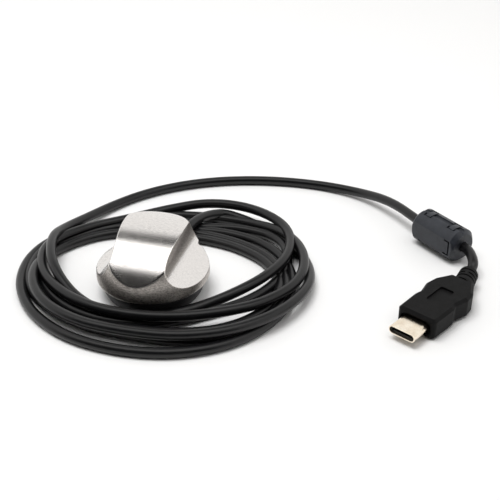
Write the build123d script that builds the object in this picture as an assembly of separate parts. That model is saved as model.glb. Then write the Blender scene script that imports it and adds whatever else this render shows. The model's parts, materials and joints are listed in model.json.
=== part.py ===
"""Desk-standing wired camera release: a brushed metal grip knob that presses and turns on a small weighted
base, with a loosely coiled cord that runs through a clip-on ferrite to a USB-C plug. Millimetres, +Z up,
origin at the centre of the base on the surface it stands on, +X across the knob's grip bar, cord out at +Y."""

from build123d import *
import math
import os

os.makedirs("parts", exist_ok=True)

# ---- Driving dimensions ---------------------------------------------------------------------------------
# Knob
KNOB_R = 16.3            # largest radius of the knob's skirt
RIM_Z = 5.2              # height of the knob's lower rim at rest
KNOB_H = 15.2            # rim to the top of the grip bar
LIP_R = 0.6              # rounding of the rim
SIDE_MID = (15.0, 8.2)   # radius and height above the rim of a point on the skirt's rounded side
SIDE_TOP = (9.3, 16.8)   # where that side would end if the bar's top did not cut it
CROWN_R = 24.4           # the bar's top and front are one large curve
CROWN_BACK = 3.9         # its highest line lies this far behind the axis
BAR_HALF = 8.15          # half width of the bar at its narrowest
SCOOP_R = 8.0            # radius of the hollow on each flank
SCOOP_Z = 11.0           # height of the hollow's axis above the rim
PRESS_TRAVEL = 0.8       # how far the knob presses down
SCREW_DEG = 50.0         # direction of the set screw, from +X
SCREW_Z = 9.5            # height of the set screw
SCREW_HOLE_R = 1.3       # tapped hole for the M3 set screw

# Base
BASE_TOP_R = 15.0        # the base's outer radius under the knob's rim
BASE_FOOT_R = 13.5       # the base's outer radius at its lower edge
BASE_LIFT = 0.3          # lower edge of the base shell above the surface
SHOULDER_Z = 4.6         # shoulder that the rim closes over when pressed
DECK_R, DECK_Z = 13.9, 5.8
TOWER_R, TOWER_Z = 8.6, 6.9
WALL = 1.2
FOOT_R, FOOT_T = 12.4, 0.8
COVER_R, COVER_T = 12.5, 0.8
POST_R, POST_PITCH_R, POST_HOLE_R = 1.5, 10.9, 0.6
POST_DEGS = (210.0, 330.0, 30.0, 150.0)

# Shaft and rotary switch
SHAFT_R = 3.0
SHAFT_TOP = 15.4
SHAFT_FIT = 0.04         # radial clearance of the turning shaft
SWITCH_SIDE = 10.2
BOARD_Z, BOARD_T, BOARD_R = 1.9, 0.7, 12.2
SWITCH_Z = BOARD_Z + BOARD_T
SWITCH_TOP = 5.6

# Cord
CORD_D = 3.0
CORD_EXIT_Z = 2.5
COIL_CENTRE = (2.0, 8.5)
COIL_R = 44.5
COIL_EYE = (0.0, 8.0, 29.0, 26.0)      # centre and half axes of the coil's open middle
COIL_H = 6.4

# Clip-on ferrite
FERRITE_AT = (77.6, 45.0, 5.4)
FERRITE_DEG = -38.8
FERRITE_L = 18.0
FERRITE_R = 5.3
FERRITE_FLAT = 4.6       # axis to the flat of each side
CORE_L, CORE_R, CORE_BORE = 13.4, 3.9, 1.9
HINGE_GROOVE_R = 0.8     # groove along the top, where the two halves are hinged together
STRAP_X, STRAP_POCKET = 4.9, 3.0        # pockets for the two hinge straps, along the case
LATCH_X, LATCH_HALF = 7.2, 2.2          # outline of the latch tongue on the side, near one end

# USB-C plug
PLUG_AT = (75.9, -1.1, 3.3)            # centre of the overmould's front face
PLUG_DEG = -115.9
SHELL_W, SHELL_T, SHELL_OUT, SHELL_WALL = 8.34, 2.56, 6.5, 0.3
MOULD_L, MOULD_T = 24.0, 6.4
BOOT_L, BOOT_R0, BOOT_R1 = 7.2, 3.1, 2.8
BOOT_TURN = 16.0         # the soft boot is bent this far from the plug's own direction

# Free route of the cord: base to coil, and coil to ferrite
EXIT_ROUTE = [(0, 8.2, CORD_EXIT_Z), (0, 22.5, CORD_EXIT_Z), (1.6, 33.0, 3.0), (4.2, 42.0, 3.4)]
TAIL_ROUTE = [(-37.2, 21.5, 1.6), (-34.2, 31.0, 1.6), (-29.6, 41.5, 1.5), (-22.6, 52.4, 1.5), (-12.0, 62.4, 1.5),
              (0.6, 69.4, 1.5), (16.0, 74.2, 1.5), (32.5, 75.6, 1.5), (47.6, 72.6, 2.2), (59.4, 62.2, 5.2)]

FERRITE_DIR = (math.cos(math.radians(FERRITE_DEG)), math.sin(math.radians(FERRITE_DEG)))
PLUG_DIR = (math.cos(math.radians(PLUG_DEG)), math.sin(math.radians(PLUG_DEG)))


def save(node, shape):
    """Write one sub-part to its own file."""
    shape.label = node
    export_step(shape, f"parts/{node}.step")


def disc(radius, low, high):
    """A plain cylinder about the Z axis between two heights."""
    return Pos(0, 0, low) * Cylinder(radius, high - low, align=(Align.CENTER, Align.CENTER, Align.MIN))


def ring(outer, inner, low, high):
    return disc(outer, low, high) - disc(inner, low - 1, high + 1)


def block(size, at):
    """A box given by its size and the centre of its base."""
    return Pos(*at) * Box(*size, align=(Align.CENTER, Align.CENTER, Align.MIN))


def group(solids):
    return Compound(children=list(solids))


def polar(radius, degrees):
    angle = math.radians(degrees)
    return radius * math.cos(angle), radius * math.sin(angle)


def revolved(points_and_arcs):
    """Turn a closed outline in the XZ plane into a solid about Z."""
    return revolve(make_face(points_and_arcs), Axis.Z)


# ---- Knob ----------------------------------------------------------------------------------------------
def skirt_dome():
    """Round skirt with a rolled rim and a side that curves inwards as it rises."""
    low, side = RIM_Z, RIM_Z + LIP_R
    lip = ThreePointArc((KNOB_R - LIP_R, 0, low),
                        (KNOB_R - LIP_R * (1 - math.sin(math.pi / 4)), 0, side - LIP_R * math.cos(math.pi / 4)),
                        (KNOB_R, 0, side))
    wall = ThreePointArc((KNOB_R, 0, side), (SIDE_MID[0], 0, RIM_Z + SIDE_MID[1]),
                         (SIDE_TOP[0], 0, RIM_Z + SIDE_TOP[1]))
    top = wall @ 1
    closing = Polyline(top, (0, 0, top.Z), (0, 0, low), (KNOB_R - LIP_R, 0, low))
    return revolved([lip, wall, closing])


def bar_envelope():
    """Everything under the grip bar's top: one large curve along X, highest behind the axis."""
    return Pos(0, CROWN_BACK, RIM_Z + KNOB_H - CROWN_R) * Rot(0, 90, 0) * Cylinder(CROWN_R, 2 * KNOB_R + 8)


def knob_body():
    body = skirt_dome() & bar_envelope()
    for side in (-1, 1):
        hollow = Rot(90, 0, 0) * Cylinder(SCOOP_R, 60)
        body -= Pos(side * (BAR_HALF + SCOOP_R), 0, RIM_Z + SCOOP_Z) * hollow
    body -= disc(15.3, RIM_Z - 1, 5.7) + disc(14.5, RIM_Z - 1, 7.0) + disc(9.6, RIM_Z - 1, 7.9)
    body -= shaft_solid(0.02)
    x, y = polar(1, SCREW_DEG)
    bore = Plane((0, 0, SCREW_Z), z_dir=(x, y, 0)) * Pos(0, 0, SHAFT_R - 1) * Cylinder(
        SCREW_HOLE_R, KNOB_R + 4, align=(Align.CENTER, Align.CENTER, Align.MIN))
    return body - bore


def shaft_solid(extra=0.0):
    """Round shaft with a flat towards the set screw along its upper part."""
    low = 4.0 if extra == 0 else RIM_Z - 1
    shaft = disc(SHAFT_R + extra, low, SHAFT_TOP + extra)
    flat = Rot(0, 0, SCREW_DEG) * block((4, 8, 12), (SHAFT_R - 0.5 + extra + 2, 0, 8.0))
    return shaft - flat


def set_screw():
    x, y = polar(1, SCREW_DEG)
    place = Plane((0, 0, SCREW_Z), z_dir=(x, y, 0)) * Pos(0, 0, SHAFT_R - 0.48)
    screw = Cylinder(SCREW_HOLE_R - 0.05, 5.0, align=(Align.CENTER, Align.CENTER, Align.MIN))
    socket = Pos(0, 0, 3.2) * extrude(RegularPolygon(0.75, 6, major_radius=False), 3)
    return place * (screw - socket)


# ---- Base ----------------------------------------------------------------------------------------------
def base_shell():
    outside = ThreePointArc((BASE_FOOT_R, 0, BASE_LIFT), (14.55, 0, 2.2), (BASE_TOP_R, 0, SHOULDER_Z - 0.3))
    top = Polyline((BASE_TOP_R, 0, SHOULDER_Z - 0.3), (BASE_TOP_R - 0.3, 0, SHOULDER_Z), (DECK_R, 0, SHOULDER_Z),
                   (DECK_R, 0, DECK_Z), (TOWER_R, 0, DECK_Z), (TOWER_R, 0, TOWER_Z), (0, 0, TOWER_Z),
                   (0, 0, BASE_LIFT), (BASE_FOOT_R, 0, BASE_LIFT))
    shell = revolved([outside, top])
    shell -= disc(COVER_R + 0.1, 0, DECK_Z - WALL)
    shell -= disc(TOWER_R - WALL, 0, TOWER_Z - 1.1)
    shell -= disc(SHAFT_R + 0.3, 0, TOWER_Z + 1)
    for degrees in POST_DEGS:
        x, y = polar(POST_PITCH_R, degrees)
        shell += Pos(x, y, 0) * ring(POST_R, POST_HOLE_R, FOOT_T + COVER_T, DECK_Z - WALL)
    return shell - Pos(0, 0, CORD_EXIT_Z) * Rot(-90, 0, 0) * disc(1.95, 10, 20)


def bottom_cover():
    cover = disc(COVER_R, FOOT_T, FOOT_T + COVER_T)
    for degrees in POST_DEGS:
        x, y = polar(POST_PITCH_R, degrees)
        cover -= Pos(x, y, 0) * disc(0.75, 0, 3)
        cover -= Pos(x, y, FOOT_T) * Cone(1.35, 0.75, 0.6, align=(Align.CENTER, Align.CENTER, Align.MIN))
    return cover - block((5.2, 8, 4), (0, 12.2, 0))


def cover_screws():
    screws = []
    for degrees in POST_DEGS:
        x, y = polar(POST_PITCH_R, degrees)
        head = Pos(0, 0, FOOT_T) * Cone(1.3, 0.55, 0.6, align=(Align.CENTER, Align.CENTER, Align.MIN))
        cross = block((1.3, 0.3, 0.3), (0, 0, FOOT_T)) + block((0.3, 1.3, 0.3), (0, 0, FOOT_T))
        screws.append(Pos(x, y, 0) * (head + disc(0.55, FOOT_T + 0.3, 4.2) - cross))
    return group(screws)


def foot_pad():
    return disc(FOOT_R, 0, FOOT_T) - block((5.2, 8, 4), (0, 12.6, -1))


def ballast_ring():
    weight = ring(12.2, 8.7, 2.9, 4.4)
    for degrees in POST_DEGS:
        x, y = polar(POST_PITCH_R, degrees)
        weight -= Pos(x, y, 0) * disc(POST_R + 0.25, 0, 6)
    return weight - block((13, 12, 6), (0, 12, 0))


def circuit_board():
    board = disc(BOARD_R, BOARD_Z, BOARD_Z + BOARD_T)
    for degrees in POST_DEGS:
        x, y = polar(POST_PITCH_R, degrees)
        board -= Pos(x, y, 0) * disc(POST_R + 0.25, 0, 6)
    return board - block((12, 8, 6), (0, 11.2, 0))


def board_chips():
    chips = [block((3.0, 3.0, 0.3), (-6.2, -7.0, BOARD_Z - 0.3))]
    chips += [block((1.0, 0.6, 0.25), (x, -9.6, BOARD_Z - 0.25)) for x in (-2.4, -0.6, 1.2, 3.0)]
    chips += [block((1.6, 1.2, 0.3), (6.4, y, BOARD_Z - 0.3)) for y in (-6.6, -4.4)]
    return group(chips)


def switch_housing():
    housing = block((SWITCH_SIDE, SWITCH_SIDE, SWITCH_TOP - SWITCH_Z), (0, 0, SWITCH_Z))
    return housing - disc(4.6, SWITCH_Z + 0.2, SWITCH_TOP - 0.5) - disc(SHAFT_R + SHAFT_FIT, 3, 7)


def detent_spring():
    """Thin sprung ring that bears on the detent wheel."""
    return ring(4.4, 3.3, 4.95, 5.07)


def detent_wheel():
    """Wheel on the shaft, notched for the clicks."""
    wheel = ring(4.2, SHAFT_R, 4.35, 4.8)
    for step in range(24):
        x, y = polar(4.2, step * 15)
        wheel -= Pos(x, y, 0) * disc(0.22, 4, 6)
    return wheel


def push_actuator():
    """Cup under the shaft's end that carries it down on to the click dome."""
    return disc(2.4, 3.78, 3.98) + disc(0.8, 3.64, 3.78)


def click_dome():
    """Shallow sprung metal dome under the actuator."""
    arc = ThreePointArc((2.9, 0, SWITCH_Z + 0.2), (1.6, 0, SWITCH_Z + 0.82), (0.3, 0, SWITCH_Z + 1.0))
    inner = ThreePointArc((0.3, 0, SWITCH_Z + 0.87), (1.5, 0, SWITCH_Z + 0.7), (2.75, 0, SWITCH_Z + 0.2))
    joins = [Line(arc @ 1, inner @ 0), Line(inner @ 1, arc @ 0)]
    return revolved([arc, inner, *joins])


def cord_gland():
    """Tapered sleeve with a collar inside the base wall; the cord passes through it."""
    place = Pos(0, 0, CORD_EXIT_Z) * Rot(-90, 0, 0)
    sleeve = disc(1.85, 12.0, 14.6)
    taper = Pos(0, 0, 14.6) * Cone(1.85, 1.72, 5.4, align=(Align.CENTER, Align.CENTER, Align.MIN))
    collar = ring(1.85, 1.6, 11.4, 12.0)
    return place * (sleeve + taper + collar - disc(1.56, 10, 22))


def cord_clamp():
    clamp = block((9.0, 2.2, 1.9), (0, 9.9, 2.6))
    clamp -= Pos(0, 0, CORD_EXIT_Z) * Rot(-90, 0, 0) * disc(1.56, 5, 15)
    for x in (-3.3, 3.3):
        clamp -= Pos(x, 9.9, 0) * disc(0.62, 0, 6)
    return clamp


def clamp_screws():
    return group(Pos(x, 9.9, 0) * (disc(1.0, 2.05, 2.55) + disc(0.55, 2.55, 4.5)) for x in (-3.3, 3.3))


def inner_leads():
    """Four insulated leads from the cord's end to the board."""
    leads = []
    for x in (-0.9, -0.3, 0.3, 0.9):
        path = Line((x, 8.1, CORD_EXIT_Z + 0.5), (x * 2.2, 6.6, CORD_EXIT_Z + 0.5))
        leads.append(sweep(Plane(path @ 0, z_dir=path % 0) * Circle(0.24), path=path))
    return group(leads)


# ---- Cord ----------------------------------------------------------------------------------------------
def corner_radii(points):
    """0.45 of the shorter run over the tangent of half the turn, at each corner of a route."""
    radii = []
    for before, at, after in zip(points, points[1:], points[2:]):
        first, second = Vector(*at) - Vector(*before), Vector(*after) - Vector(*at)
        turn = math.radians(first.get_angle(second))
        radii.append(0.45 * min(first.length, second.length) / math.tan(turn / 2))
    return radii


def cord_tube(name, points):
    radii = corner_radii(points)
    path = FilletPolyline(*points, radius=radii)
    tube = sweep(Plane(path @ 0, z_dir=path % 0) * Circle(CORD_D / 2), path=path)
    expected = path.length * math.pi * CORD_D ** 2 / 4
    print(name, "length", round(path.length, 1), "radii", [round(radius, 1) for radius in radii],
          "volume ratio", round(tube.volume / expected, 4))
    return tube


def cord_coil():
    x, y = COIL_CENTRE
    eye_x, eye_y, eye_a, eye_b = COIL_EYE
    outer = Pos(x, y, 0) * extrude(Circle(COIL_R), COIL_H)
    eye = Pos(eye_x, eye_y, -1) * extrude(Ellipse(eye_a, eye_b), COIL_H + 2)
    coil = outer - eye
    return chamfer(coil.edges().group_by(Axis.Z)[-1], 1.6)


def ferrite_end(sign, past=0.0):
    """A point on the ferrite's axis at or past one of its end faces."""
    reach = sign * (FERRITE_L / 2 + past)
    return FERRITE_AT[0] + reach * FERRITE_DIR[0], FERRITE_AT[1] + reach * FERRITE_DIR[1], FERRITE_AT[2]


def boot_end(past=0.0):
    """A point on the bent boot's axis at or past its open end."""
    x, y = polar(BOOT_L + past, PLUG_DEG + 180 + BOOT_TURN)
    return PLUG_AT[0] - MOULD_L * PLUG_DIR[0] + x, PLUG_AT[1] - MOULD_L * PLUG_DIR[1] + y, PLUG_AT[2]


# ---- Clip-on ferrite -----------------------------------------------------------------------------------
def at_ferrite(shape):
    return Pos(*FERRITE_AT) * Rot(0, 0, FERRITE_DEG) * shape


def ferrite_outline():
    """Round case with flats on its two sides and a chamfered end all round."""
    body = Rot(0, 90, 0) * Cylinder(FERRITE_R, FERRITE_L)
    body = chamfer(body.edges(), 1.3)
    return body & Box(FERRITE_L + 2, 2 * FERRITE_FLAT, 2 * FERRITE_R + 2)


def ferrite_case(side):
    """One half of the case: side -1 faces -Y of the ferrite's own frame, +1 is the lid."""
    half = ferrite_outline() & Pos(0, side * 10.04, 0) * Box(60, 20, 40)
    half -= Rot(0, 90, 0) * Cylinder(CORE_R + 0.15, CORE_L + 0.3)
    half -= Rot(0, 90, 0) * Cylinder(CORD_D / 2 + 0.12, 60)
    half -= Pos(0, 0, FERRITE_R - 0.12) * Rot(0, 90, 0) * Cylinder(HINGE_GROOVE_R, 60)
    for x in (-STRAP_X, STRAP_X):
        half -= Pos(x, 0, FERRITE_R) * Box(STRAP_POCKET, 4.2, 1.6)
        half -= Pos(x, 0, -FERRITE_R + 0.2) * Box(3.0, 3.0, 1.2)
    if side < 0:
        half -= Pos(-1.0, -FERRITE_FLAT, -2.9) * Box(9.0, 0.9, 0.7)
        half -= Pos(LATCH_X, -FERRITE_FLAT, 0) * Box(0.5, 1.6, 2 * LATCH_HALF + 0.5)
        for z in (-LATCH_HALF, LATCH_HALF):
            half -= Pos(LATCH_X - 1.0, -FERRITE_FLAT, z) * Box(2.0, 0.9, 0.5)
    return half


def ferrite_core(side):
    core = Rot(0, 90, 0) * (Cylinder(CORE_R, CORE_L) - Cylinder(CORE_BORE, CORE_L + 2))
    return core & Pos(0, side * 10.04, 0) * Box(60, 20, 40)


# ---- USB-C plug ----------------------------------------------------------------------------------------
def at_plug(shape):
    return Pos(*PLUG_AT) * Rot(0, 0, PLUG_DEG) * shape


def oblong(width, thickness, low, high):
    """Full-round oblong bar along the plug's own X axis."""
    face = Plane.YZ * SlotOverall(width, thickness)
    return Pos(low, 0, 0) * extrude(face, high - low, dir=(1, 0, 0))


def plug_overmould():
    """Grip with a waist and a wider tail, a shallow panel on top and a recess round the shell."""
    half = [(0, 6.0), (-9.2, 6.2), (-11.0, 5.7), (-15.6, 6.8), (-19.0, 6.3), (-MOULD_L, 3.6)]
    outline = Polyline(*half, *[(x, -y) for x, y in reversed(half)], close=True)
    body = Pos(0, 0, -MOULD_T / 2) * extrude(make_face(outline), MOULD_T)
    body = fillet(body.edges().filter_by(Axis.Z), 1.3)
    rims = body.edges().group_by(Axis.Z)
    body = chamfer(rims[0] + rims[-1], 0.8)
    panel = Box(8.0, 4.4, 1.2)
    body -= Pos(-12.0, 0, MOULD_T / 2) * fillet(panel.edges().filter_by(Axis.Z), 0.8)
    body -= oblong(SHELL_W + 1.5, SHELL_T + 1.5, -1.1, 1)
    body -= oblong(SHELL_W, SHELL_T, -7.0, 1)
    body -= Pos(-9.7, 0, 0) * Box(5.6, 6.2, 2.0)
    return body - Pos(-12, 0, 0) * Rot(0, -90, 0) * disc(CORD_D / 2 + 0.1, 0, MOULD_L)


def plug_boot():
    """Ribbed, slotted strain relief, bent sideways and trimmed flush with the grip's tail."""
    place = Pos(-MOULD_L, 0, 0) * Rot(0, 0, BOOT_TURN) * Rot(0, -90, 0)
    root = disc(BOOT_R0, -1.2, 0.4)
    boot = root + Cone(BOOT_R0, BOOT_R1, BOOT_L, align=(Align.CENTER, Align.CENTER, Align.MIN))
    for step in range(3):
        z = 1.9 + step * 1.7
        slot = ring(BOOT_R0 + 1, 1.95, z, z + 0.65) - block((0.9, 9, 9), (0, 0, 0))
        boot -= Rot(0, 0, 90 * (step % 2)) * slot
    boot -= disc(CORD_D / 2 + 0.1, -3, BOOT_L + 1)
    return (place * boot) & Pos(-MOULD_L - 10.01, 0, 0) * Box(20, 20, 20)


def plug_shell():
    tube = oblong(SHELL_W, SHELL_T, -6.9, SHELL_OUT)
    return tube - oblong(SHELL_W - 2 * SHELL_WALL, SHELL_T - 2 * SHELL_WALL, -6.4, SHELL_OUT + 1)


def plug_insulator():
    """Moulded core inside the shell with a slot for the socket's tongue."""
    core = oblong(SHELL_W - 2 * SHELL_WALL - 0.04, SHELL_T - 2 * SHELL_WALL - 0.04, -6.3, SHELL_OUT - 0.7)
    core -= Pos(SHELL_OUT - 3.4, 0, 0) * Box(9.0, 6.9, 0.9)
    for row in (-1, 1):
        for step in range(12):
            core -= Pos(2.4, -2.75 + 0.5 * step, row * 0.52) * Box(6.0, 0.28, 0.3)
    return core


def plug_contacts():
    """Two rows of twelve sprung contacts."""
    return group(Pos(2.2, -2.75 + 0.5 * step, row * 0.55) * Box(5.2, 0.2, 0.16)
                 for row in (-1, 1) for step in range(12))


def plug_board():
    return Pos(-9.6, 0, 0) * Box(5.0, 6.0, 0.8)


# ---- Write every node ----------------------------------------------------------------------------------
def main():
    save("knob_body", knob_body())
    save("set_screw", set_screw())
    save("drive_shaft", shaft_solid())
    save("detent_wheel", detent_wheel())
    save("push_actuator", push_actuator())
    save("base_shell", base_shell())
    save("bottom_cover", bottom_cover())
    save("cover_screws", cover_screws())
    save("foot_pad", foot_pad())
    save("ballast_ring", ballast_ring())
    save("circuit_board", circuit_board())
    save("board_chips", board_chips())
    save("switch_housing", switch_housing())
    save("detent_spring", detent_spring())
    save("click_dome", click_dome())
    save("cord_gland", cord_gland())
    save("cord_clamp", cord_clamp())
    save("clamp_screws", clamp_screws())
    save("inner_leads", inner_leads())
    save("cord_exit", cord_tube("cord_exit", EXIT_ROUTE))
    save("cord_coil", cord_coil())
    save("cord_tail", cord_tube("cord_tail", TAIL_ROUTE + [ferrite_end(-1)]))
    link = [ferrite_end(1), ferrite_end(1, 3.5), boot_end(2.5), boot_end()]
    save("cord_link", cord_tube("cord_link", link))
    save("ferrite_case", at_ferrite(ferrite_case(-1)))
    save("ferrite_lid", at_ferrite(ferrite_case(1)))
    save("ferrite_core_fixed", at_ferrite(ferrite_core(-1)))
    save("ferrite_core_lid", at_ferrite(ferrite_core(1)))
    save("plug_overmould", at_plug(plug_overmould()))
    save("plug_boot", at_plug(plug_boot()))
    save("plug_shell", at_plug(plug_shell()))
    save("plug_insulator", at_plug(plug_insulator()))
    save("plug_contacts", at_plug(plug_contacts()))
    save("plug_board", at_plug(plug_board()))


main()
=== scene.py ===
"""Looks of a desk-standing wired camera release: a satin nickel grip knob on a black base, its loosely coiled
black cord, a clip-on ferrite and a USB-C plug. Metres, in the part's own frame."""

import json
import math

import bmesh
import bpy
import numpy as np
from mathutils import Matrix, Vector


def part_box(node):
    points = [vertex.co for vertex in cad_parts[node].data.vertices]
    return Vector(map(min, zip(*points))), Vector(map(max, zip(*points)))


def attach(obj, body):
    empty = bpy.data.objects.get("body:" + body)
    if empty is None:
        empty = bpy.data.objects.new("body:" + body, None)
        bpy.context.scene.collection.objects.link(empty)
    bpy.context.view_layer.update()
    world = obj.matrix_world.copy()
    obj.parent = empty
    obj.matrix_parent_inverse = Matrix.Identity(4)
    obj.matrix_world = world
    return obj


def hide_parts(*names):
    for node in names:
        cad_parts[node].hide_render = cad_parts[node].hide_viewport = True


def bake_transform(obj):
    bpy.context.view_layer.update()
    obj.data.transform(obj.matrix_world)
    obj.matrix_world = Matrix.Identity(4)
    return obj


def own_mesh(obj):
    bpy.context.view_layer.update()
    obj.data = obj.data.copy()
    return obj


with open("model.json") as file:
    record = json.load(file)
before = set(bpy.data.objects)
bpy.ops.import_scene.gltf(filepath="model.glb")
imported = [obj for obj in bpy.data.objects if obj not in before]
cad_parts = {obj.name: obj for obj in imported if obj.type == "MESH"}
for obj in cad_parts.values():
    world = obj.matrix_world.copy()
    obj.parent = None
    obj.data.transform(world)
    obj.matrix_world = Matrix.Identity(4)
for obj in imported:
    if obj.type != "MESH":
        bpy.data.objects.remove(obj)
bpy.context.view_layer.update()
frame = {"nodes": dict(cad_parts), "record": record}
nodes = frame["nodes"]
MM = 0.001
RELIEF_DEPTH = 0.00005     # depth in metres of the fine relief on every finish but the nickel
MIX_FIRST, MIX_SECOND, MIX_RESULT = 6, 7, 2     # a mix node's sockets for two colours and their mix


# ---- Materials -----------------------------------------------------------------------------------------
def shader(name, base, roughness, metallic=0.0, **sockets):
    """A principled material; further sockets are set directly by name, with _ for a space."""
    made = bpy.data.materials.new(name)
    made.use_nodes = True
    principled = made.node_tree.nodes["Principled BSDF"]
    principled.inputs["Base Color"].default_value = (*base, 1)
    principled.inputs["Roughness"].default_value = roughness
    principled.inputs["Metallic"].default_value = metallic
    for socket, value in sockets.items():
        principled.inputs[socket.replace("_", " ")].default_value = value
    return made


def node(tree, kind, **inputs):
    made = tree.nodes.new(kind)
    for socket, value in inputs.items():
        made.inputs[socket.replace("_", " ")].default_value = value
    return made


def grain(tree, scale, detail=3.0, stretch=(1, 1, 1)):
    """Noise in the part's own coordinates, stretched along an axis for a brushed look."""
    place = tree.nodes.new("ShaderNodeTexCoord")
    mapping = tree.nodes.new("ShaderNodeMapping")
    mapping.inputs["Scale"].default_value = stretch
    tree.links.new(place.outputs["Object"], mapping.inputs["Vector"])
    noise = node(tree, "ShaderNodeTexNoise", Scale=scale, Detail=detail, Roughness=0.6)
    tree.links.new(mapping.outputs["Vector"], noise.inputs["Vector"])
    return noise.outputs["Fac"]


def ramp(tree, value, low, high, start=0.3, end=0.7):
    """Value mapped to a colour between two others."""
    made = tree.nodes.new("ShaderNodeValToRGB")
    made.color_ramp.elements[0].position, made.color_ramp.elements[0].color = start, (*low, 1)
    made.color_ramp.elements[1].position, made.color_ramp.elements[1].color = end, (*high, 1)
    tree.links.new(value, made.inputs["Fac"])
    return made.outputs["Color"]


def spread(tree, value, low, high):
    """Value mapped to a number between two others."""
    made = node(tree, "ShaderNodeMapRange")
    made.inputs["From Min"].default_value, made.inputs["From Max"].default_value = 0.25, 0.75
    made.inputs["To Min"].default_value, made.inputs["To Max"].default_value = low, high
    tree.links.new(value, made.inputs["Value"])
    return made.outputs["Result"]


def smooth_step(tree, value, low, high):
    made = node(tree, "ShaderNodeMapRange")
    made.interpolation_type = "SMOOTHSTEP"
    made.inputs["From Min"].default_value, made.inputs["From Max"].default_value = low, high
    tree.links.new(value, made.inputs["Value"])
    return made.outputs["Result"]


def combine(tree, kind, first, second):
    made = tree.nodes.new("ShaderNodeMath")
    made.operation = kind
    for socket, value in zip(made.inputs, (first, second)):
        if isinstance(value, (int, float)):
            socket.default_value = value
        else:
            tree.links.new(value, socket)
    return made.outputs["Value"]


def textured(name, dark, light, rough, scale, relief, **sockets):
    """Mottled colour, a roughness that varies between the two ends of rough, and a fine relief."""
    made = shader(name, light, rough[0], **sockets)
    tree = made.node_tree
    principled = tree.nodes["Principled BSDF"]
    broad = grain(tree, scale / 9, 4.0)
    small = grain(tree, scale)
    tree.links.new(ramp(tree, broad, dark, light), principled.inputs["Base Color"])
    tree.links.new(spread(tree, small, rough[0], rough[1]), principled.inputs["Roughness"])
    bump = node(tree, "ShaderNodeBump", Strength=relief, Distance=RELIEF_DEPTH)
    tree.links.new(small, bump.inputs["Height"])
    tree.links.new(bump.outputs["Normal"], principled.inputs["Normal"])
    return made


def blended(tree, share, first, second):
    """One colour turning into another as share goes from 0 to 1."""
    mix = tree.nodes.new("ShaderNodeMix")
    mix.data_type = "RGBA"
    tree.links.new(share, mix.inputs["Factor"])
    tree.links.new(first, mix.inputs[MIX_FIRST])
    tree.links.new(second, mix.inputs[MIX_SECOND])
    return mix.outputs[MIX_RESULT]


def satin_nickel():
    """Satin nickel with fine specks. Upright surfaces such as the skirt are made rougher and given a darker,
    browner colour: a painted reflection of dark surroundings that the studio doesn't have."""
    made = shader("satin_nickel", (0.8, 0.77, 0.73), 0.28, 1.0)
    tree = made.node_tree
    principled = tree.nodes["Principled BSDF"]
    specks = grain(tree, 3000, 2.0, (0.35, 1, 1))
    fine = grain(tree, 6500, 2.0, (0.5, 1, 1))
    place = tree.nodes.new("ShaderNodeNewGeometry")
    split = tree.nodes.new("ShaderNodeSeparateXYZ")
    tree.links.new(place.outputs["Normal"], split.inputs["Vector"])
    level = smooth_step(tree, split.outputs["Z"], 0.36, 0.52)
    speck_tone = ramp(tree, specks, (0.78, 0.755, 0.735), (0.85, 0.825, 0.805), 0.36, 0.6)
    # painted reflection: a darker, browner nickel colour on upright faces, standing in for dark surroundings
    upright_painted_reflection = ramp(tree, specks, (0.34, 0.31, 0.285), (0.62, 0.58, 0.545), 0.36, 0.6)
    tree.links.new(blended(tree, level, upright_painted_reflection, speck_tone), principled.inputs["Base Color"])
    dull = combine(tree, "MULTIPLY", combine(tree, "SUBTRACT", 1.0, level), 0.2)
    rough = combine(tree, "ADD", spread(tree, specks, 0.24, 0.15), dull)
    tree.links.new(rough, principled.inputs["Roughness"])
    bump = node(tree, "ShaderNodeBump", Strength=0.4, Distance=0.00002)
    tree.links.new(fine, bump.inputs["Height"])
    tree.links.new(bump.outputs["Normal"], principled.inputs["Normal"])
    return made


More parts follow.
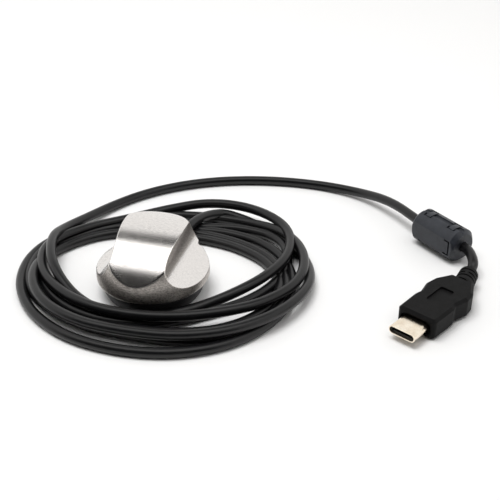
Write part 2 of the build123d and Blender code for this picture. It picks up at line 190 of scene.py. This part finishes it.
def materials():
    """One material for each of the record's slots."""
    return {
        "satin_metal": satin_nickel(),
        "steel": textured("plain_steel", (0.42, 0.42, 0.44), (0.6, 0.6, 0.61), (0.25, 0.42), 4000, 0.15,
                          metallic=1.0),
        "spring_steel": textured("spring_steel", (0.55, 0.54, 0.5), (0.72, 0.7, 0.66), (0.15, 0.3), 5000, 0.1,
                                 metallic=1.0),
        "base_black": textured("base_black", (0.008, 0.008, 0.009), (0.015, 0.015, 0.016), (0.5, 0.68),
                               5000, 0.35),
        "foot_rubber": textured("foot_rubber", (0.012, 0.012, 0.012), (0.02, 0.02, 0.02), (0.75, 0.9),
                                3000, 0.4),
        "cord_black": textured("cord_pvc", (0.002, 0.002, 0.0024), (0.005, 0.005, 0.0055), (0.27, 0.36),
                               2600, 0.15, Specular_IOR_Level=0.42),
        "ferrite_shell": textured("ferrite_shell", (0.014, 0.016, 0.021), (0.024, 0.027, 0.034), (0.36, 0.5),
                                  3600, 0.25, Specular_IOR_Level=0.4),
        "ferrite_ceramic": textured("ferrite_ceramic", (0.035, 0.035, 0.037), (0.07, 0.07, 0.073),
                                    (0.35, 0.6), 3000, 0.3),
        "plug_black": textured("plug_overmould", (0.003, 0.003, 0.003), (0.006, 0.006, 0.0063), (0.5, 0.66),
                               4200, 0.4, Specular_IOR_Level=0.12),
        "plug_metal": textured("plug_shell", (0.86, 0.74, 0.58), (0.98, 0.9, 0.77), (0.14, 0.24), 3000, 0.06,
                               metallic=1.0),
        "contact_gold": textured("contact_gold", (0.8, 0.56, 0.22), (0.95, 0.72, 0.35), (0.15, 0.28),
                                 3000, 0.1, metallic=1.0),
        "switch_plastic": textured("switch_plastic", (0.05, 0.05, 0.055), (0.09, 0.09, 0.095), (0.4, 0.55),
                                   3500, 0.2),
        "board_green": textured("board_green", (0.01, 0.09, 0.035), (0.02, 0.15, 0.06), (0.28, 0.4),
                                2500, 0.15),
        "chip_black": textured("chip_black", (0.012, 0.012, 0.013), (0.022, 0.022, 0.023), (0.45, 0.6),
                               4000, 0.3),
        "lead_insulation": textured("lead_insulation", (0.35, 0.03, 0.02), (0.5, 0.05, 0.03), (0.35, 0.5),
                                    3000, 0.1),
    }


finishes = materials()


def dress(piece, slot):
    piece.data.materials.clear()
    piece.data.materials.append(finishes[slot])


def dress_cad_nodes():
    for part in frame["record"]["subparts"]:
        dress(nodes[part["node"]], part["material_slot"])


def new_piece(name, mesh, body, slot, smooth_deg=35):
    """A mesh piece with its finish, shaded smooth below an angle, riding on a body."""
    piece = bpy.data.objects.new(name, mesh)
    bpy.context.scene.collection.objects.link(piece)
    dress(piece, slot)
    mesh.shade_smooth()
    mesh.set_sharp_from_angle(angle=math.radians(smooth_deg))
    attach(piece, body)
    return piece


# ---- Camera, floor and light ---------------------------------------------------------------------------
CAMERA_AT = (0.0924, -0.22106, 0.159)
CAMERA_TILT_DEG, CAMERA_TURN_DEG = 58.5, 16
LENS, SENSOR, CLIP_START = 70.5, 36, 0.01
FLOOR_REACH, FLOOR_LEVEL, FLOOR_TONE = 2.5, -0.00002, 0.72
TENT, DARK_DROP, SOFTBOX = 0.95, 0.92, 1.9     # strengths: the tent, what dark takes away, the softbox
# Where each band of the studio begins and where it is full
HIGH_BAND, BACK_BAND, FRONT_BAND = (0.78, 0.86), (-0.22, -0.16), (0.40, 0.50)
LAMP_AT, LAMP_SIZE, LAMP_POWER = (-0.12, -0.02, 0.75), 0.42, 4.2


def camera():
    made = bpy.data.objects.new("camera", bpy.data.cameras.new("camera"))
    bpy.context.scene.collection.objects.link(made)
    made.location = CAMERA_AT
    made.rotation_euler = (math.radians(CAMERA_TILT_DEG), 0, math.radians(CAMERA_TURN_DEG))
    made.data.lens, made.data.sensor_width = LENS, SENSOR
    made.data.clip_start = CLIP_START
    bpy.context.scene.camera = made


def floor():
    mesh = bpy.data.meshes.new("floor")
    signs = ((-1, -1), (1, -1), (1, 1), (-1, 1))
    corners = [(x * FLOOR_REACH, y * FLOOR_REACH, FLOOR_LEVEL) for x, y in signs]
    mesh.from_pydata(corners, [], [(0, 1, 2, 3)])
    made = bpy.data.objects.new("floor", mesh)
    bpy.context.scene.collection.objects.link(made)
    tone = (FLOOR_TONE, FLOOR_TONE, FLOOR_TONE)
    mesh.materials.append(shader("floor_white", tone, 0.65, Specular_IOR_Level=0.2))


def area_light(name, at, towards, size, power):
    """A square lamp that lights everything but doesn't show in reflections."""
    lamp = bpy.data.lights.new(name, "AREA")
    lamp.shape, lamp.size, lamp.energy = "SQUARE", size, power
    made = bpy.data.objects.new(name, lamp)
    bpy.context.scene.collection.objects.link(made)
    made.location = at
    made.visible_glossy = False
    made.rotation_euler = (Vector(towards) - Vector(at)).to_track_quat("-Z", "Y").to_euler()


def studio():
    """White tent behind and at the sides, a dark gap above it, a bright softbox overhead, dark in front."""
    world = bpy.data.worlds.new("studio")
    bpy.context.scene.world = world
    world.use_nodes = True
    tree = world.node_tree
    place = tree.nodes.new("ShaderNodeTexCoord")
    split = tree.nodes.new("ShaderNodeSeparateXYZ")
    tree.links.new(place.outputs["Generated"], split.inputs["Vector"])
    forward = combine(tree, "MULTIPLY", split.outputs["Y"], -1.0)
    high = smooth_step(tree, split.outputs["Z"], *HIGH_BAND)
    softbox_back = smooth_step(tree, forward, *BACK_BAND)
    front = smooth_step(tree, forward, *FRONT_BAND)
    softbox = combine(tree, "MULTIPLY", combine(tree, "MULTIPLY", high, softbox_back),
                      combine(tree, "SUBTRACT", 1.0, front))
    dark = combine(tree, "MAXIMUM", high, front)
    tent = combine(tree, "SUBTRACT", TENT, combine(tree, "MULTIPLY", dark, DARK_DROP))
    strength = combine(tree, "ADD", tent, combine(tree, "MULTIPLY", softbox, SOFTBOX))
    tree.links.new(strength, tree.nodes["Background"].inputs["Strength"])
    tree.nodes["Background"].inputs["Color"].default_value = (1.0, 0.99, 0.975, 1)
    area_light("overhead", LAMP_AT, (0.0, 0.0, 0.0), LAMP_SIZE, LAMP_POWER)
    bpy.context.scene.view_settings.view_transform = "Standard"


# ---- Knob ----------------------------------------------------------------------------------------------
RIM_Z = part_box("knob_body")[0].z / MM
KNOB_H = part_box("knob_body")[1].z / MM - RIM_Z
KNOB_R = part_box("knob_body")[1].x / MM
SIDE_FROM, SIDE_MID, SIDE_TO = (KNOB_R, 0.6), (15.0, 8.2), (9.3, 16.8)   # the skirt's side, radius and height
CROWN_R, CROWN_BACK = 24.4, 3.9                   # the bar's one large curve, and how far back it is highest
SCOOP_AT, SCOOP_R = (16.15, 11.0), 8.0
EYE_Z = 5.0                                       # height above the rim that the whole outside is seen from
SCREW_DEG, SCREW_Z, SCREW_HOLE_R = 50.0, 9.5, 1.3
SCREW_SINK = 0.35                                 # how much wider the countersink is than the hole
COLUMNS, ROWS = 420, 240                          # points round the knob and from its top down
LIP_R = 15.35                                     # where the outside ends, on the rim
HOLLOW = ((15.3, 0.5), (14.5, 0.52), (14.5, 1.8), (9.6, 1.82), (9.6, 2.7), (3.02, 2.72), (3.02, 10.2),
          (0.4, 10.22))                           # radius and height above the rim
SHARP_DEG = 50                                    # edges sharper than this stay sharp in the shading


def circle_through(a, b, c):
    """Centre and radius of the circle through three points of a plane."""
    (ax, ay), (bx, by), (cx, cy) = a, b, c
    aa, bb, cc = ax ** 2 + ay ** 2, bx ** 2 + by ** 2, cx ** 2 + cy ** 2
    d = 2 * (ax * (by - cy) + bx * (cy - ay) + cx * (ay - by))
    ux = (aa * (by - cy) + bb * (cy - ay) + cc * (ay - by)) / d
    uy = (aa * (cx - bx) + bb * (ax - cx) + cc * (bx - ax)) / d
    return ux, uy, math.hypot(ax - ux, ay - uy)


def rounded_max(a, b, blend):
    """The larger of two distances, with the edge where they meet rounded."""
    return np.maximum(a, b) + np.maximum(blend - np.abs(a - b), 0) ** 2 / (4 * blend)


def knob_distance(x, y, z):
    """Distance in mm, about, to the knob's outside; negative inside. z is above the rim."""
    side_r, side_z, radius = circle_through(SIDE_FROM, SIDE_MID, SIDE_TO)
    side = np.hypot(np.hypot(x, y) - side_r, z - side_z) - radius
    bar = np.hypot(y - CROWN_BACK, z - KNOB_H + CROWN_R) - CROWN_R
    scoop = SCOOP_R - np.hypot(np.abs(x) - SCOOP_AT[0], z - SCOOP_AT[1])
    upper = rounded_max(rounded_max(side, bar, 0.25), scoop, 0.3)
    return rounded_max(upper, -z, 0.9)


def knob_outside(columns, rows, lowest):
    """Points of the outside, row by row from the top down, found along rays from a point on the axis."""
    turns = np.linspace(0, 2 * math.pi, columns, endpoint=False)[None, :]
    tilts = np.linspace(math.radians(89.6), lowest, rows)[:, None]
    way = np.cos(tilts) * np.cos(turns), np.cos(tilts) * np.sin(turns), np.sin(tilts) * np.ones_like(turns)
    near, far = np.full((rows, columns), 2.0), np.full((rows, columns), 22.0)
    for _ in range(26):
        middle = (near + far) / 2
        inside = knob_distance(way[0] * middle, way[1] * middle, EYE_Z + way[2] * middle) < 0
        near, far = np.where(inside, middle, near), np.where(inside, far, middle)
    return np.stack([way[0] * near, way[1] * near, EYE_Z + way[2] * near], axis=2)


def knob():
    """The grip knob with softly rounded edges, hollow below, bored for its shaft and set screw."""
    outside = knob_outside(COLUMNS, ROWS, math.atan2(-EYE_Z, LIP_R))
    turns = np.linspace(0, 2 * math.pi, COLUMNS, endpoint=False)
    rings = [np.stack([r * np.cos(turns), r * np.sin(turns), np.full(COLUMNS, z)], axis=1) for r, z in HOLLOW]
    levels = list(outside) + rings
    points = np.concatenate(levels) * MM
    points[:, 2] += RIM_Z * MM
    faces = []
    for level in range(len(levels) - 1):
        for column in range(COLUMNS):
            a, b = level * COLUMNS + column, level * COLUMNS + (column + 1) % COLUMNS
            faces.append((a, a + COLUMNS, b + COLUMNS, b))
    faces.append(tuple(range(COLUMNS)))
    last = (len(levels) - 1) * COLUMNS
    faces.append(tuple(reversed(range(last, last + COLUMNS))))
    mesh = bpy.data.meshes.new("knob")
    mesh.from_pydata(points.tolist(), [], faces)
    piece = new_piece("knob", mesh, "knob", "satin_metal", SHARP_DEG)
    bore_for_screw(piece)
    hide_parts("knob_body")


def bore_for_screw(piece):
    """Cut the set screw's hole, with a small countersink, through the skirt."""
    angle = math.radians(SCREW_DEG)
    sunk_r = SCREW_HOLE_R + SCREW_SINK
    outline = [(2.0, 0), (2.0, SCREW_HOLE_R), (13.2, SCREW_HOLE_R), (14.4, sunk_r), (20.0, sunk_r), (20.0, 0)]
    sides = 40
    points, faces = [], []
    for depth, radius in outline:
        for step in range(sides):
            turn = 2 * math.pi * step / sides
            out, up = radius * math.cos(turn), radius * math.sin(turn)
            points.append(((depth * math.cos(angle) - out * math.sin(angle)) * MM,
                           (depth * math.sin(angle) + out * math.cos(angle)) * MM, (SCREW_Z + up) * MM))
    for level in range(len(outline) - 1):
        for step in range(sides):
            a, b = level * sides + step, level * sides + (step + 1) % sides
            faces.append((a, b, b + sides, a + sides))
    mesh = bpy.data.meshes.new("drill")
    mesh.from_pydata(points, [], faces)
    shape = bmesh.new()
    shape.from_mesh(mesh)
    bmesh.ops.remove_doubles(shape, verts=shape.verts, dist=1e-7)
    bmesh.ops.recalc_face_normals(shape, faces=shape.faces)
    shape.to_mesh(mesh)
    shape.free()
    drill = bpy.data.objects.new("drill", mesh)
    bpy.context.scene.collection.objects.link(drill)
    cut = piece.modifiers.new("bore", "BOOLEAN")
    cut.operation, cut.solver, cut.object = "DIFFERENCE", "EXACT", drill
    evaluated = piece.evaluated_get(bpy.context.evaluated_depsgraph_get())
    piece.data = bpy.data.meshes.new_from_object(evaluated)
    piece.modifiers.clear()
    bpy.data.objects.remove(drill)
    piece.data.shade_smooth()
    piece.data.set_sharp_from_angle(angle=math.radians(SHARP_DEG))


# ---- Cord ----------------------------------------------------------------------------------------------
CORD_D = 3.0
COIL_MIDDLE = (2.0, 8.5)
INSIDE_CORNERS = math.cos(math.radians(11.25))    # the curve runs this much inside its points on the coil
LIE, UPPER = 1.5, 4.6      # height of the cord's middle where it lies on the floor, and on another turn
EXIT_ROUTE = [(0, 8.2, 2.5), (0, 14.5, 2.5), (0, 20.5, 2.6), (0.2, 26.0, 4.2), (1.2, 33.0, 4.8),
              (4.0, 40.5, 3.6), (9.4, 45.6, 2.0)]
# How far each turn lies from the coil's middle at N, NE, E, SE, S, SW, W and NW, going round clockwise. Many of
# these follow distances worked out by a measuring script, and some were changed since, so no driving dimension
# stands behind them.
# # these follow measured distances, and some were changed since, so no driving dimension
# # stands behind them.
TURN_REACH = (
    (33.0, 38.5, 42.0, 38.9, 35.7, 40.0, 38.0, 25.5),
    (19.3, 24.0, 34.0, 33.8, 30.5, 39.0, 42.0, 30.5),
    (22.0, 26.6, 36.0, 37.5, 33.0, 38.0, 39.5, 30.0),
    (24.0, 31.5, 37.5, 40.4, 40.3, 42.9, 43.5, 33.0),
    (25.5, 37.5, 31.0, 25.0, 28.0, 34.5, 40.5, 34.5),
    (33.0, 39.0, 39.0, 29.8, 28.2, 33.4, 39.8, 31.5),
    (37.6, 40.3, 29.3, 21.0, 25.0, 30.5, 37.5, 41.0),
)
# Stretches that lie on other turns: from and to in degrees since the first turn's N, and their height
HUMPS = ((100, 245, UPPER), (1855, 2066, UPPER), (2060, 2160, 3.0), (2165, 2262, 4.8), (2402, 2432, 7.0))
RAMP_DEG = 26.0
TAIL_ROUTE = [(-36.9, 18.5, 4.2), (-34.2, 29.5, 2.4), (-29.6, 41.5, 1.5), (-22.6, 51.9, 1.5),
              (-12.0, 61.4, 1.5), (0.6, 68.3, 1.5), (16.0, 72.8, 1.5), (32.5, 74.2, 1.5), (47.6, 71.2, 2.2),
              (59.4, 62.2, 5.2)]
LINK_ROUTE = [(88.6, 32.4, 4.7)]
FERRITE_AT, FERRITE_DEG = (77.6, 45.0, 5.4), -38.8
PLUG_AT, PLUG_DEG, MOULD_L = (75.9, -1.1, 3.3), -115.9, 24.0
BOOT_L, BOOT_TURN = 7.2, 16.0


def along(at, degrees, reach):
    """The point that lies reach from a point, level with it, in a direction."""
    turn = math.radians(degrees)
    return at[0] + reach * math.cos(turn), at[1] + reach * math.sin(turn), at[2]


def hump_height(degrees):
    """Height of the cord's middle at an angle along the coil."""
    height = LIE
    for start, end, top in HUMPS:
        outside = max(start - degrees, degrees - end, 0) / RAMP_DEG
        share = 1 - min(outside, 1)
        height = max(height, LIE + (top - LIE) * share * share * (3 - 2 * share))
    return height


def coil_points():
    """Sixteen points for each turn, from the first turn's NE to the last one's W."""
    reach = [r for turn in TURN_REACH for r in turn]
    points = []
    for step in range(2, 2 * (len(reach) - 2) + 1):
        index, between = divmod(step, 2)
        if between:
            before, a, b, after = reach[index - 1:index + 3]
            r = (9 * (a + b) - before - after) / 16
        else:
            r = reach[index]
        r /= INSIDE_CORNERS
        degrees = step * 22.5
        turn = math.radians(degrees)
        x, y = COIL_MIDDLE[0] + r * math.sin(turn), COIL_MIDDLE[1] + r * math.cos(turn)
        points.append((x, y, hump_height(degrees)))
    return points


def cord():
    """The whole cord as one curve, from the base through the coil and the ferrite to the plug's boot."""
    through_ferrite = [along(FERRITE_AT, FERRITE_DEG, reach) for reach in (-9.5, -6.0, 6.0, 9.0, 11.6)]
    tail = along(PLUG_AT, PLUG_DEG, -MOULD_L)
    into_boot = [along(tail, PLUG_DEG + 180 + BOOT_TURN, reach) for reach in (BOOT_L + 2.5, BOOT_L, 1.0)]
    points = EXIT_ROUTE + coil_points() + TAIL_ROUTE + through_ferrite + LINK_ROUTE + into_boot
    curve = bpy.data.curves.new("cord", "CURVE")
    curve.dimensions = "3D"
    spline = curve.splines.new("NURBS")
    spline.points.add(len(points) - 1)
    for point, (x, y, z) in zip(spline.points, points):
        point.co = (x * MM, y * MM, z * MM, 1)
    spline.order_u = 3
    spline.use_endpoint_u = True
    spline.resolution_u = 8
    curve.bevel_depth = CORD_D / 2 * MM
    curve.bevel_resolution = 6
    curve.use_fill_caps = True
    piece = bpy.data.objects.new("cord", curve)
    bpy.context.scene.collection.objects.link(piece)
    dress(piece, "cord_black")
    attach(piece, "base")
    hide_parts("cord_exit", "cord_coil", "cord_tail", "cord_link")
    return piece


# ---- Hinge straps --------------------------------------------------------------------------------------
FERRITE_R, STRAP_X = 5.3, 4.9
STRAP_W, STRAP_T, STRAP_HALF = 1.9, 0.3, 1.75     # width along the case, thickness, and half the span
STRAP_SUNK, BEND_HALF = 0.14, 0.6                 # depth below the case's top, and half of what bends


def hinge_straps():
    """Two thin bridges over the pockets in the ferrite's top."""
    turn = math.radians(FERRITE_DEG)
    across = Vector((-math.sin(turn), math.cos(turn), 0))
    steps = 12
    for number, middle in enumerate((-STRAP_X, STRAP_X)):
        points, faces = [], []
        for step in range(steps + 1):
            y = STRAP_HALF * (2 * step / steps - 1)
            for top in (FERRITE_R - STRAP_SUNK, FERRITE_R - STRAP_SUNK - STRAP_T):
                z = math.sqrt(top * top - y * y)
                for x in (middle - STRAP_W / 2, middle + STRAP_W / 2):
                    at = along(FERRITE_AT, FERRITE_DEG, x)
                    points.append(((at[0] + y * across.x) * MM, (at[1] + y * across.y) * MM,
                                   (at[2] + z) * MM))
            if step:
                b = 4 * step
                a = b - 4
                faces += [(a, a + 1, b + 1, b), (a + 3, a + 2, b + 2, b + 3)]
                faces += [(a + 2, a, b, b + 2), (a + 1, a + 3, b + 3, b + 1)]
        last = 4 * steps
        faces += [(0, 2, 3, 1), (last, last + 1, last + 3, last + 2)]
        mesh = bpy.data.meshes.new(f"hinge_strap_{number + 1}")
        mesh.from_pydata(points, [], faces)
        mesh.update()
        strap = bpy.data.objects.new(f"hinge_strap_{number + 1}", mesh)
        bpy.context.scene.collection.objects.link(strap)
        dress(strap, "ferrite_shell")
        mesh.shade_smooth()
        mesh.set_sharp_from_angle(angle=math.radians(40))
        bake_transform(strap)


# ---- Put together --------------------------------------------------------------------------------------
camera()
floor()
studio()
dress_cad_nodes()
knob()
lead = cord()
hinge_straps()
# The press flattens the sprung dome almost completely, to make room for the cup.
# Its metal is thinned with it, which a real dome's is not.
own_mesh(nodes["click_dome"])
